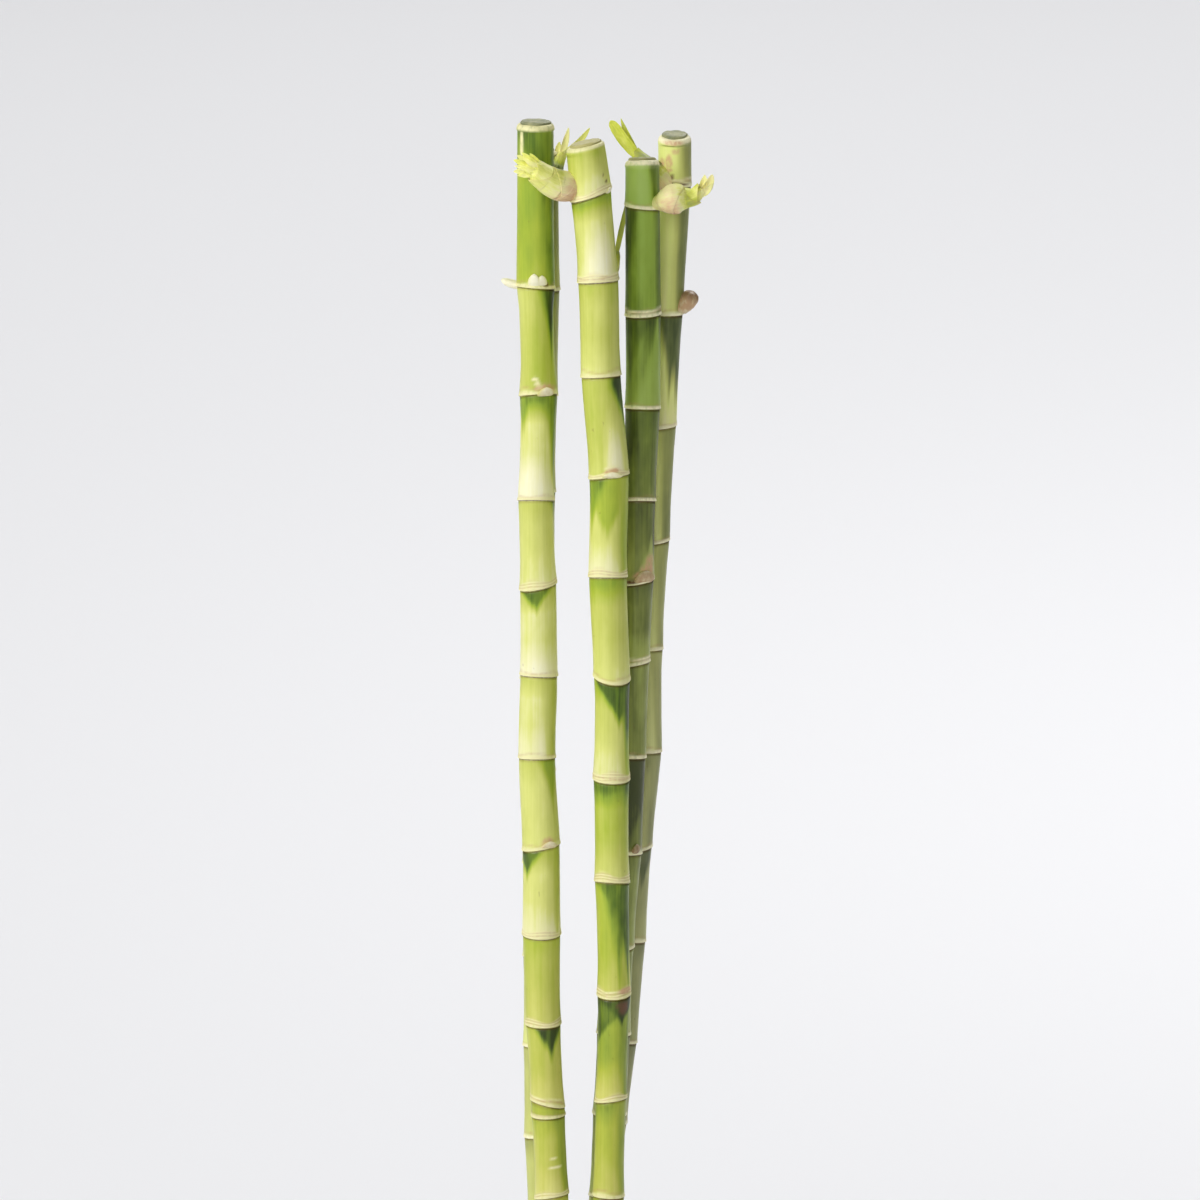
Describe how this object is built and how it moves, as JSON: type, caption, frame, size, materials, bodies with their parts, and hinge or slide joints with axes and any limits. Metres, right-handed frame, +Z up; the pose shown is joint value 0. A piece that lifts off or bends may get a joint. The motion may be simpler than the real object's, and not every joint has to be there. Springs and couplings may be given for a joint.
{
  "type": "lucky bamboo in a vase",
  "caption": "Upright green jointed canes with short side shoots and waxed cut tops, standing in water in a plain tapered clear glass vase.",
  "frame": {"origin": "centre of the vase's flat foot, on the surface that it stands on", "axes": "+Z up, along the canes; -Y is the front, the side that the picture shows; +X is to the right as seen from the front"},
  "size_m": [0.0834, 0.0812, 0.5201],
  "materials": {
    "glass": "clear, polished",
    "water": "clear, still",
    "bright_cane": "satin living bark, bright green fading to cream above each ring",
    "dark_cane": "satin living bark, dark green",
    "pale_cane": "satin living bark, greyish green",
    "wax": "satin wax",
    "young_shoot": "satin young sheath, pale yellow green with a pinkish base"
  },
  "bodies": {
    "root": {"vase": "glass", "water": "water", "cane_front_left": "bright_cane", "cane_front_right": "bright_cane", "cane_middle_right": "dark_cane", "cane_back_right": "pale_cane", "cane_back_left": "pale_cane", "wax_seal_front_left": "wax", "wax_seal_front_right": "wax", "wax_seal_middle_right": "wax", "wax_seal_back_right": "wax", "wax_seal_back_left": "wax", "shoot_front_right": "young_shoot", "shoot_middle_right": "young_shoot", "shoot_back_right": "young_shoot", "shoot_back_left": "young_shoot", "shoot_front_right_rear": "young_shoot"}
  },
  "joints": []
}
